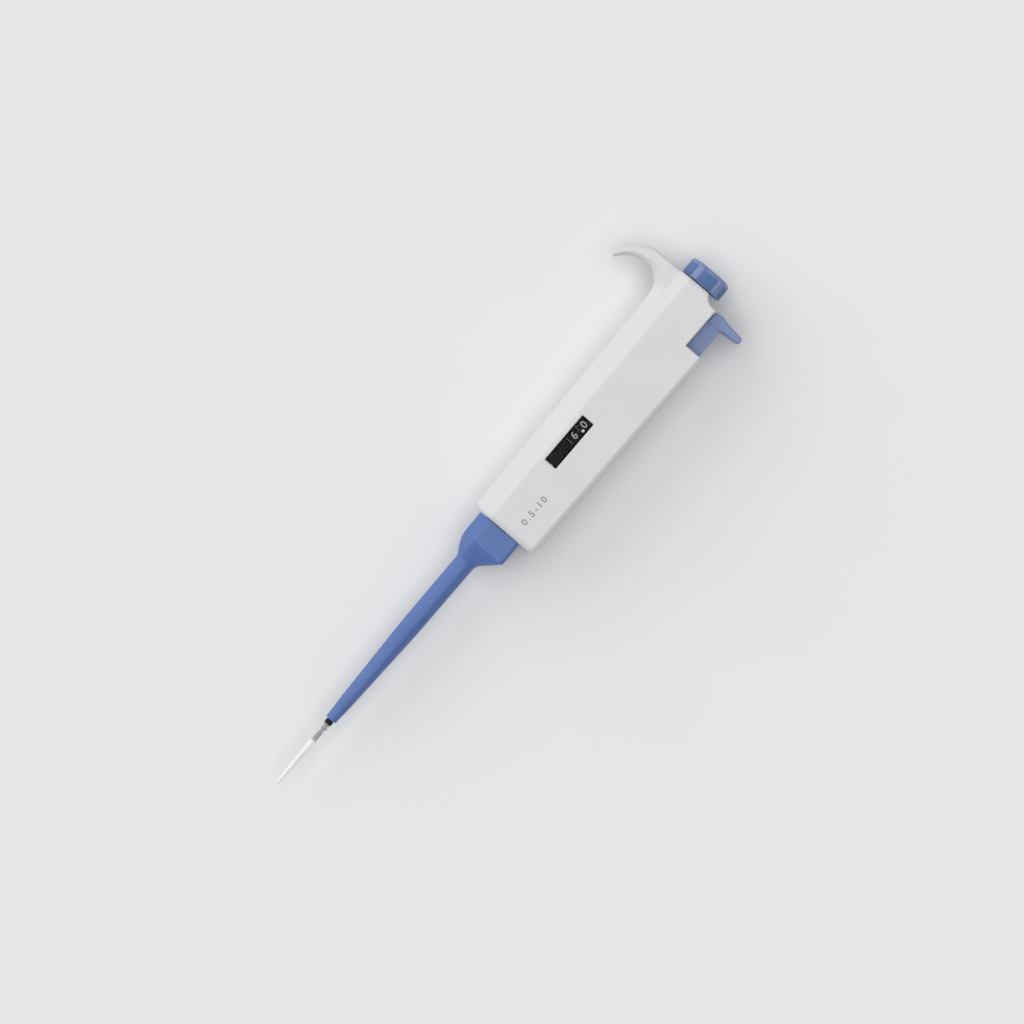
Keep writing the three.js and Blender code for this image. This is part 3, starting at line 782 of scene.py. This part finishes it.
def make_screws():
    """Pan heads with a cross recess, and a coarse thread on the shank."""
    core, crest, pitch = 0.68, 0.9, 0.8
    arm, half_slot = 1.1, 0.22
    for node in SCREW_NODES:
        x, y, back, front = screw_place(node)
        head = [(0, back), (1.2, back), (1.65, back + 0.15), (1.8, back + 0.5), (1.8, back + 1.3)]
        shank = [(crest, back + 1.3)]
        for k in range(int((front - back - 2) / pitch)):
            low = back + 1.5 + k * pitch
            shank += [(core, low), (crest, low + pitch / 2)]
        screw = turned(head + shank + [(0.5, front), (0, front)], 48)
        for half_x, half_z in ((arm, half_slot), (half_slot, arm)):
            boolean(screw, block(-half_x, half_x, back - 1, back + 0.9, -half_z, half_z))
        moved(pointing_forward(screw), x, y)
        finish_piece(screw, node.replace("shell_", "pan_"), "handle", STEEL, [node])


# ---- window, counter and printed range ----
def text_mesh(text, size, depth, weight, spacing=1.0):
    """Raised text in the X-Y plane, read along Y with the letters' tops to the left."""
    curve = bpy.data.curves.new("line", "FONT")
    curve.body = text
    curve.size = size
    curve.align_x = "CENTER"
    curve.align_y = "CENTER"
    curve.space_character = spacing
    curve.resolution_u = 4
    curve.offset = weight
    curve.extrude = depth
    mesh = mesh_from_curve(curve)
    mesh.data.transform(Matrix.Rotation(math.pi / 2, 4, "Z"))
    return mesh


def wrapped(obj, radius, turn):
    """Bends a flat figure in the X-Y plane round the drum and turns it about Y."""
    for vertex in obj.data.vertices:
        angle = vertex.co.x / radius + turn
        vertex.co = polar(radius + vertex.co.z, angle, vertex.co.y)
    return obj


def sliced(obj, width=0.3):
    """Cuts a wide figure into strips, so that it can bend."""
    bm = bmesh.new()
    bm.from_mesh(obj.data)
    xs = [v.co.x for v in bm.verts]
    x = min(xs) + width
    while x < max(xs):
        geometry = bm.verts[:] + bm.edges[:] + bm.faces[:]
        bmesh.ops.bisect_plane(bm, geom=geometry, plane_co=(x, 0, 0), plane_no=(1, 0, 0))
        x += width
    bm.to_mesh(obj.data)
    bm.free()
    return obj


DIGIT_SIZE = 4.5
TEN_SIZE = 3.6  # the number of two figures is smaller
DIGIT_RAISE = 0.03
DIGIT_WEIGHT = 0.06
POINT_RADIUS = 0.6
DRUM_BORE = 5.3
VIEW_X = (lens.x0 + lens.x1) / 2  # the figures are read in the middle of the window
UNITS_SHOWN = 6


def make_drum(node, body, bore_points, reach=0.0):
    """A drum; reach lengthens it downwards."""
    span = Span(node)
    drum = rod(span.radius, span.y0 - reach, span.y1, soft=0.04, sides=128)
    cleaned(boolean(drum, prism(bore_points, span.y0 - 2, span.y1 + 1)))
    finish_piece(drum, node.replace("_drum", "_wheel"), body, COUNTER_BLACK, [node])


def drum_figures(node, body, figures):
    """Figures round a drum; each comes into view from the left as the drum turns."""
    span = Span(node)
    middle = (span.y0 + span.y1) / 2
    reading = math.asin(VIEW_X / span.radius)
    marks = []
    for k, figure in enumerate(figures):
        size = DIGIT_SIZE if len(figure) == 1 else TEN_SIZE
        mark = sliced(text_mesh(figure, size, DIGIT_RAISE, DIGIT_WEIGHT))
        wrapped(mark, span.radius, reading - k * TURN / len(figures))
        marks.append(moved(mark, 0, middle))
    name = node.replace("_drum", "_figures")
    finish_piece(joined(marks), name, body, FIGURE_GREY, smooth=25)


def make_counter():
    """Three drums: tenths on top, units from 0 to 10, and a fixed blank one."""
    round_bore = circle_points(DRUM_BORE, 64)
    make_drum("tenths_drum", "dial", circle_points(DRUM_HEX, 6))
    make_drum("units_drum", "units", round_bore)
    make_drum("blank_drum", "handle", round_bore, 0.55)
    drum_figures("tenths_drum", "dial", "0123456789")
    drum_figures("units_drum", "units", [str((UNITS_SHOWN + k) % 11) for k in range(11)])
    point = pointing_forward(rod(POINT_RADIUS, -0.04, 0.04, soft=0.02, sides=32))
    moved(point, VIEW_X + 1.3, Span("tenths_drum").y0 + POINT_RADIUS, lens.z0 - 0.05)
    finish_piece(point, "decimal_point", "handle", POINT_WHITE, smooth=25)


def make_window():
    """A clear pane with soft edges that closes the opening over the drums."""
    depth = lens.z1 - lens.z0
    levels = ((0, 0.15), (0.15, 0), (depth - 0.2, 0), (depth - 0.06, 0.06), (depth, 0.2))
    pane = loft([window_ring(lens.z0 + z, -inset, 0.4) for z, inset in levels])
    finish_piece(pane, "window_pane", "handle", WINDOW_CLEAR, ["window_lens"])


PRINT_SIZE = 3.9
PRINT_SPACING = 1.4
PRINT_PLACE = (7.8, 149.3)


def make_print():
    """The volume range, printed on the front below the window and read along the handle."""
    label = text_mesh("0.5-10", PRINT_SIZE, 0.012, 0.05, PRINT_SPACING)
    moved(label, *PRINT_PLACE, HALF_DEPTH + 0.004)
    finish_piece(label, "range_print", "handle", PRINT_GREY, smooth=25)


# ---- push button and plunger ----
BUTTON_LOBES = 5
NOTCH_TURN = math.radians(6)
BUTTON_RADIUS = 9.5
NOTCH_DEPTH = 0.8
KNOB_EDGE = 1.7
KNOB_FOOT = 0.5
DISH_DEPTH = 0.7


def smoothstep(edge0, edge1, x):
    t = min(1.0, max(0.0, (x - edge0) / (edge1 - edge0)))
    return t * t * (3 - 2 * t)


def button_ring(y, inset, dip_share=1.0):
    """The button's outline, drawn in by inset; dip_share tells how deep its notches are."""
    points = []
    per_lobe = 36
    pitch = TURN / BUTTON_LOBES
    for i in range(BUTTON_LOBES * per_lobe):
        angle = pitch * i / per_lobe
        from_notch = abs((angle + pitch / 2) % pitch - pitch / 2) / (pitch / 2)
        dip = 1 - smoothstep(0.6, 0.78, from_notch)
        radius = BUTTON_RADIUS - inset - NOTCH_DEPTH * dip * dip_share
        points.append(polar(radius, angle + NOTCH_TURN, y))
    return points


def make_button():
    """A lobed button with a crowned edge and a shallow dish for the thumb."""
    rings = []
    for angle in quarter_turn(4):
        y = button.y0 + KNOB_FOOT * (1 - math.cos(angle))
        rings.append(button_ring(y, KNOB_FOOT * (1 - math.sin(angle))))
    for angle in quarter_turn(8):
        y = button.y1 - KNOB_EDGE + KNOB_EDGE * math.sin(angle)
        rings.append(button_ring(y, KNOB_EDGE * (1 - math.cos(angle))))
    steps = 12
    for k in range(1, steps):
        share = k / steps
        radius_left = (BUTTON_RADIUS - KNOB_EDGE) * (1 - share)
        sink = DISH_DEPTH * smoothstep(0.05, 0.9, share)
        rings.append(button_ring(button.y1 - sink, BUTTON_RADIUS - radius_left, (1 - share) ** 2))
    knob = loft(rings)
    socket = rod(ROD_HEX + GAP, button.y0 - 1, Span("operating_rod").y1 + 0.4, sides=32)
    boolean(knob, socket)
    finish_piece(knob, "thumb_button", "plunger", BUTTON_BLUE, ["push_button"])
    # the notch inserts carry the darker blue, painted shade in the notches
    grips = [grip(NOTCH_TURN + TURN * k / BUTTON_LOBES) for k in range(BUTTON_LOBES)]
    finish_piece(joined(grips), "thumb_grips", "plunger", NOTCH_SHADE_BLUE)


def grip(turn):
    """A ribbed insert in one of the button's notches; its darker blue is painted shade for the notch's
    hollow.
    """
    half_angle = math.radians(22)
    ribs = 9
    steps = ribs * 8
    floor = BUTTON_RADIUS - NOTCH_DEPTH - 0.3
    outer = []
    for i in range(steps + 1):
        share = i / steps
        radius = floor + 0.45 + 0.3 * abs(math.sin(math.pi * ribs * share))
        outer.append((radius, turn + half_angle * (2 * share - 1)))
    inner = [(floor, turn + half_angle * (1 - 2 * i / 16)) for i in range(17)]
    rings = []
    foot = [(button.y0 + 0.7, 0.4), (button.y0 + 1, 0.1), (button.y0 + 1.3, 0)]
    head = [(button.y1 - 2.4, 0), (button.y1 - 2, 0.1), (button.y1 - 1.7, 0.4)]
    for y, inset in foot + head:
        arcs = [(radius - inset, angle) for radius, angle in outer] + inner
        rings.append([polar(radius, angle, y) for radius, angle in arcs])
    return loft(rings)


def make_plunger():
    """The rod, six-sided where it runs in the screw, its stop collar and the piston with its head."""
    rod_span = Span("operating_rod")
    stop = Span("rod_stop_collar")
    upper = prism(circle_points(ROD_HEX, 6), stop.y1 + GAP, rod_span.y1)
    bevelled(upper, 0.15, 2)
    lower = rod(1.6, rod_span.y0, stop.y1 + 2.4, soft=0.3)
    shaft = boolean(upper, lower, "UNION")
    finish_piece(shaft, "plunger_rod", "plunger", STEEL, ["operating_rod"])
    ring_piece("rod_stop_collar", 1.9, 0.25, "stop_flange", "plunger", STEEL)
    head = Span("piston_head")
    disc = rod(head.radius, head.y0, head.y1, 0.3)
    finish_piece(disc, "piston_cap", "plunger", INNER_WHITE, ["piston_head"])
    piston = Span("piston")
    pin = rod(piston.radius, piston.y0, piston.y1, 0.15, 32)
    finish_piece(pin, "piston_pin", "plunger", STEEL, ["piston"])


def threaded(radius, y0, y1, lead, depth):
    """A round bar with a screw thread rolled into it."""
    sides = 48
    rings = []
    rows = int((y1 - y0) / lead * 10)
    for row in range(rows + 1):
        y = y0 + (y1 - y0) * row / rows
        fade = min(1.0, (y1 - y) / lead, (y - y0) / lead)
        ring = []
        for i in range(sides):
            angle = TURN * i / sides
            phase = (y / lead + i / sides) % 1
            groove = depth * (1 - abs(2 * phase - 1)) * fade
            ring.append(polar(radius - groove, angle, y))
        rings.append(ring)
    return loft(rings)


THREAD_PITCH = 0.637  # twice the screw's lead, so that the thread can be made out
THREAD_FOOT = 233


def make_screw_and_nut():
    """The volume screw on its six-sided spline, the nut that it turns in and the well's bush."""
    screw = Span("volume_screw")
    nut = Span("setting_nut")
    thread = threaded(screw.radius, THREAD_FOOT, screw.y1, THREAD_PITCH, 0.25)
    spline_bar = prism(circle_points(SPLINE_HEX, 6), screw.y0, THREAD_FOOT + 1)
    bevelled(spline_bar, 0.25, 2)
    boolean(thread, spline_bar, "UNION")
    boolean(thread, prism(circle_points(SOCKET_HEX, 6), screw.y0 - 1, screw.y1 + 1))
    finish_piece(thread, "lead_screw", "screw", STEEL, ["volume_screw"])
    body = prism(circle_points(7.5, 6), nut.y0, nut.y1)
    bevelled(body, 0.4, 3)
    boolean(body, rod(SCREW_BORE, nut.y0 - 1, nut.y1 + 1))
    finish_piece(body, "screw_nut", "handle", BRASS, ["setting_nut"])
    ring_piece("guide_bush", SCREW_BORE, 0.25, "well_bush", "handle", INNER_WHITE)


# ---- springs ----
def coil(node, mean_radius, wire, turns, x, z, start=0.0, end=1.0):
    """A compression spring whose end turns lie flat, or the stretch of its wire from start to end."""
    span = Span(node)
    low, high = span.y0 + wire, span.y1 - wire
    points_per_turn = 24
    count = turns * points_per_turn
    dead = 0.9 / turns  # the share of the wire in each flat end
    points = []
    for k in range(round(start * count), round(end * count) + 1):
        share = k / count
        rise = min(1.0, max(0.0, (share - dead) / (1 - 2 * dead)))
        flat = 2 * wire * (min(share, dead) + max(0.0, share - 1 + dead)) / dead
        y = low + flat * 0.5 + (high - low - 2 * wire) * rise
        angle = TURN * turns * share
        points.append((x + mean_radius * math.cos(angle), y, z + mean_radius * math.sin(angle)))
    curve = polyline("3D", points)
    curve.bevel_depth = wire
    curve.bevel_resolution = 3
    curve.use_fill_caps = True
    return mesh_from_curve(curve)


SETTING_SHARE = 0.36  # the share of a plunger spring's wire that takes up the volume setting


def fit_spring(wound, name, body, nodes=()):
    """Finishes a spring, or a stretch of one, and gives it a mesh of its own."""
    obj = finish_piece(wound, name, body, SPRING_STEEL, nodes)
    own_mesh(obj)


def make_springs():
    """The plunger's springs are in two stretches: the lower one is fixed to the handle and the upper one
    rides with the screw.

    A winding is the coil's mean radius, its wire's radius, its turns, and the place of its axis.
    """
    for node, *winding, joint in (
        ("blowout_spring", 6, 0.6, 4, 0, 0, "blowout_slide"),
        ("ejector_spring", 2.1, 0.35, 9, 14, 6.2, "ejector_press"),
    ):
        fit_spring(coil(node, *winding), node.replace("_spring", "_coil"), "handle", [node])
    for node, *winding in (
        ("main_spring", 3, 0.4, 7, 0, 0),
        ("piston_spring", 1.8, 0.22, 9, 0, 0),
    ):
        name = node.replace("_spring", "_coil")
        lower = coil(node, *winding, 0, SETTING_SHARE)
        upper = coil(node, *winding, SETTING_SHARE, 1)
        fit_spring(lower, name, "handle", [node])
        fit_spring(upper, name + "_upper", "screw")


# ---- liquid end ----
BORE_RADIUS = Span("piston").radius + 0.15


def make_barrel():
    """The tube that the piston slides in, wide at its head for the piston's spring."""
    outside = [(1.75, 44), (3.2, 88), (3.2, 129), (4.6, 130), (4.6, 137.8), (6.8, 137.8), (6.8, 139)]
    inside = [(2.5, 139), (2.5, 107), (BORE_RADIUS, 105.5)]
    body = turned(softened([(BORE_RADIUS, 44), *outside, *inside], 0.25))
    finish_piece(body, "barrel_tube", "handle", INNER_WHITE, ["barrel"])


def make_nozzle():
    """The cone that carries the tip, with the grooves that show through it, and the ring at its base."""
    nozzle = Span("nozzle_cone")
    cone = [(0.45, nozzle.y0), (0.95, nozzle.y0), (1.08, 26)]
    grooves = [(0.8, 26.4), (0.8, 27.9), (1.2, 28.1), (1.2, 29.3), (0.8, 29.5), (0.8, 29.8)]
    shank = [(1.28, 30.2), (1.28, 32.9), (1.5, 33.2), (1.75, nozzle.y1)]
    bore = [(0.9, nozzle.y1), (0.9, 41), (0.45, 39)]
    body = turned(softened(cone + grooves + shank + bore, 0.12), 48)
    finish_piece(body, "nozzle", "handle", NOZZLE_GREY, ["nozzle_cone"])
    ring_piece("cone_base_ring", 1.42, 0.12, "nozzle_ring", "handle", NUT_BLACK, 48)


def make_seals():
    """The piston's seal, the ring above that keeps it down, and the O-ring below it."""
    ring_piece("piston_seal", BORE_RADIUS, 0.15, "seal_ring", "handle", PTFE, 48)
    keeper_bore = BORE_RADIUS + 0.05
    ring_piece("seal_retainer", keeper_bore, 0.2, "seal_keeper", "handle", INNER_WHITE, 48)
    oring = Span("seal_o_ring")
    section_radius = oring.height / 2
    middle = (oring.y0 + oring.y1) / 2
    centre = oring.radius - section_radius
    section = [(centre + dx, middle + dy) for dx, dy in circle_points(section_radius, 16)]
    finish_piece(turned(section, 48), "o_ring", "handle", RUBBER, ["seal_o_ring"])


def make_blowout_stop():
    """The plate that the main and blow-out springs stand on, and the ring on the blow-out spring."""
    ring_piece("spring_seat", 2.2, 0.25, "spring_plate", "handle", STEEL)
    ring_piece("blowout_ring", 4, 0.3, "blowout_stop", "blowout", INNER_WHITE)


def make_coupling_nut():
    """A ring nut with grip flutes."""
    nut = Span("coupling_nut")
    flutes = 18
    flute_depth = 0.25
    steps = flutes * 8
    outline = []
    for i in range(steps):
        angle = TURN * i / steps
        radius = nut.radius - flute_depth * max(0.0, math.cos(flutes * angle))
        outline.append((radius * math.sin(angle), radius * math.cos(angle)))
    body = prism(outline, nut.y0, nut.y1)
    boolean(body, rod(BARREL_HOLE, nut.y0 - 1, nut.y1 + 1))
    finish_piece(body, "barrel_nut", "handle", NUT_BLACK, ["coupling_nut"])


def make_tip():
    """The disposable tip: thin wall, collar with ribs, fine orifice."""
    tip = Span("pipette_tip")
    rib_top = tip.y1 - 1.0
    orifice = [(0.25, tip.y0), (0.66, tip.y0), (0.75, tip.y0 + 0.15)]
    cone = [(1, 8), (1.35, 20), (1.5, 23.6), (1.62, 24.8), (2, 26.2), (2.12, 26.6), (2.12, rib_top)]
    collar = [(tip.radius, tip.y1 - 0.8), (tip.radius, tip.y1 - 0.15), (2.1, tip.y1)]
    inside = [(1.6, tip.y1), (1.48, tip.y1 - 0.2), (1.12, 21.8), (0.8, 21), (0.45, 8)]
    body = turned(orifice + cone + collar + inside)
    ribs = 8
    for i in range(ribs):
        rib = block(-0.13, 0.13, 26.8, rib_top, 2.0, tip.radius - 0.01)
        rib.data.transform(Matrix.Rotation(TURN * i / ribs, 4, "Y"))
        boolean(body, rib, "UNION")
    finish_piece(body, "disposable_tip", "tip", TIP_CLEAR, ["pipette_tip"], smooth=28)


# ---- tip ejector ----
STEM_HALF_WIDTH = 6.0


def pad_outline():
    """The ejector button from the side: a flat stem below and a thumb lever that tapers to a round end."""
    end = pad.x1
    points = [(pad.x0, pad.y0), (STEM_RIGHT, pad.y0), (STEM_RIGHT, 251.2)]
    points += quadratic((STEM_RIGHT, 251.2), (STEM_RIGHT, 252.1), (18.8, 252.1))[1:]
    points += [(25.2, 252.4)]
    points += quadratic((25.2, 252.4), (end, 252.5), (end, 253.9))[1:]
    points += quadratic((end, 253.9), (end, 255.2), (25.3, 255.4))[1:]
    points += quadratic((25.3, 255.4), (19, 256), (15.5, 256.95))[1:]
    points += quadratic((15.5, 256.95), (12.2, 257.35), (pad.x0, 255.7))[1:]
    return points


def make_ejector():
    """The button, slotted for the bar and with a stem narrower than its lever, and the bar itself."""
    body = rounded_plate(pad_outline(), pad.z1, 0.7, 4)
    boolean(body, block(bar.x0, 16.1, pad.y0 - 1, 234.3, *with_gap(bar.z0, bar.z1)))
    for side in (-1, 1):
        depths = sorted((side * STEM_HALF_WIDTH, side * (pad.z1 + 1)))
        boolean(body, block(pad.x0 - 1, 18.5, 237.5, 251.9, *depths))
    cleaned(body)
    finish_piece(body, "eject_button", "ejector", BUTTON_BLUE, ["ejector_button"])
    left = [(13.4, bar.y1), (13.4, 152), (bar.x0, 148), (bar.x0, bar.y0)]
    right = [(BAR_FOOT_RIGHT, bar.y0), (BAR_FOOT_RIGHT, 147), (bar.x1, 151), (bar.x1, bar.y1)]
    body = rounded_plate(left + right, bar.z1, 0.3, 3)
    finish_piece(body, "eject_bar", "ejector", STEEL, ["ejector_bar"])


SLEEVE_LEVELS = [
    # height, left, right, half depth, roundness
    (135, -8.3, 11.9, 9, 0),
    (125.6, -8.2, 12, 9, 0),
    (124.2, -8, 11.4, 8.8, 0.05),
    (122, -7.5, 9.2, 7.9, 0.35),
    (118.5, -5.8, 5.7, 5.7, 0.85),
    (116, -4.4, 4.4, 4.4, 1),
    (112, -4.25, 4.25, 4.25, 1),
    (85, -4.15, 4.15, 4.15, 1),
    (72, -3.85, 3.85, 3.85, 1),
    (52, -3.2, 3.2, 3.2, 1),
    (42, -2.85, 2.85, 2.85, 1),
    (33, -2.35, 2.35, 2.35, 1),
]


def sleeve_ring(y, left, right, depth, roundness):
    """A section that goes from the handle's angular outline, at roundness 0, to an oval, at 1."""
    steps = 10
    crease = left + (right - left) * 0.27
    nose = depth * 0.38
    edge = min(1.8, depth * 0.2)
    angular = chamfered_outline(left, right, crease, depth, nose, (edge, edge), steps)
    middle = (left + right) / 2
    first = math.radians(-30 - 30 * steps / (steps + 1))  # the first of six even arcs is round -30
    ring = []
    for i, (x, z) in enumerate(angular):
        angle = first + TURN * i / len(angular)
        round_x = middle + (right - middle) * math.cos(angle)
        round_z = depth * math.sin(angle)
        ring.append((x + (round_x - x) * roundness, y, z + (round_z - z) * roundness))
    return ring


def make_sleeve():
    """The sleeve that pushes the tip off: a flare under the handle and a long tapered tube."""
    body = loft([sleeve_ring(*level) for level in spline(SLEEVE_LEVELS, 4)])
    low, high = sleeve.y0 - 1, sleeve.y1 + 1
    tube = [(1.85, low), (1.85, sleeve.y0), (2.15, 42), (2.45, 52), (3.1, 72), (3.55, 88), (3.55, 117)]
    boolean(body, turned([(0, low), *tube, (6.5, 125), (6.5, high), (0, high)]))
    boolean(body, block(*with_gap(bar.x0, BAR_FOOT_RIGHT), 126.7, high, *with_gap(bar.z0, bar.z1)))
    cleaned(body)
    finish_piece(body, "eject_sleeve", "ejector", SLEEVE_BLUE, ["ejector_sleeve"], smooth=24)


# ---- carried-over CAD nodes ----
def dress_cad_nodes():
    """The finish of the nodes whose CAD shape is kept."""
    finishes = {"counter_frame": COUNTER_BLACK, "transfer_pinion": INNER_WHITE, "pinion_shaft": STEEL}
    for node, material in finishes.items():
        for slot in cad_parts[node].material_slots:
            slot.material = material


# ---- stage ----
def make_floor():
    bm = bmesh.new()
    half = 4.0
    corners = [(-half, -half), (half, -half), (half, half), (-half, half)]
    bm.faces.new([bm.verts.new((x, y, 0)) for x, y in corners])
    floor = object_from(bm)
    floor.name = "floor"
    surface = Surface("floor_paper")
    surface.set(Specular_IOR_Level=0.2)
    shade = srgb(231, 231, 231)
    surface.colour(surface.noise(60, 2), scaled(shade, 0.995), scaled(shade, 1.005))
    surface.roughness(surface.noise(20, 2), 0.75, 0.85)
    floor.data.materials.append(surface.material)


def sun(name, direction, strength, spread):
    """A distant soft light that shines along a direction; spread is its apparent width in degrees."""
    light = bpy.data.lights.new(name, "SUN")
    light.energy = strength
    light.angle = math.radians(spread)
    placed(name, light).rotation_euler = Vector(direction).to_track_quat("-Z", "Y").to_euler()


def make_lights():
    """A broad light overhead, and a low one from the hook's side that picks out the chamfers."""
    sun("overhead", (0, 0, -1), 1.3, 60)
    sun("low_side", (0.1, -1, -0.28), 1.8, 75)
    world = bpy.data.worlds.new("studio")
    bpy.context.scene.world = world
    world.use_nodes = True
    background = world.node_tree.nodes["Background"]
    background.inputs["Color"].default_value = (1, 1, 1, 1)
    background.inputs["Strength"].default_value = 0.4


# ---- camera ----
PICTURE_WIDTH_M = 0.4096  # what the square picture spans at the piston axis
AXIS_FROM_UP = math.radians(40.46)  # the piston axis leans this far to the right of the picture's up
LOOK_AT = (1.23, 143.2, 0)  # what the middle of the picture shows, in the upright frame
DISTANCE_M = 2.6


def make_camera():
    data = bpy.data.cameras.new("camera")
    data.sensor_width = 36
    data.lens = data.sensor_width * DISTANCE_M / PICTURE_WIDTH_M
    data.clip_end = 20
    camera = placed("camera", data)
    camera.location = UPRIGHT @ Vector(LOOK_AT) + Vector((0, 0, DISTANCE_M))
    camera.rotation_euler = (0, 0, AXIS_FROM_UP - math.pi / 2)
    bpy.context.scene.camera = camera


make_shells()
make_screws()
make_counter()
make_window()
make_print()
make_button()
make_plunger()
make_screw_and_nut()
make_springs()
make_barrel()
make_nozzle()
make_seals()
make_blowout_stop()
make_coupling_nut()
make_tip()
make_ejector()
make_sleeve()
dress_cad_nodes()
make_floor()
make_lights()
make_camera()
bpy.context.scene.view_settings.view_transform = "Standard"
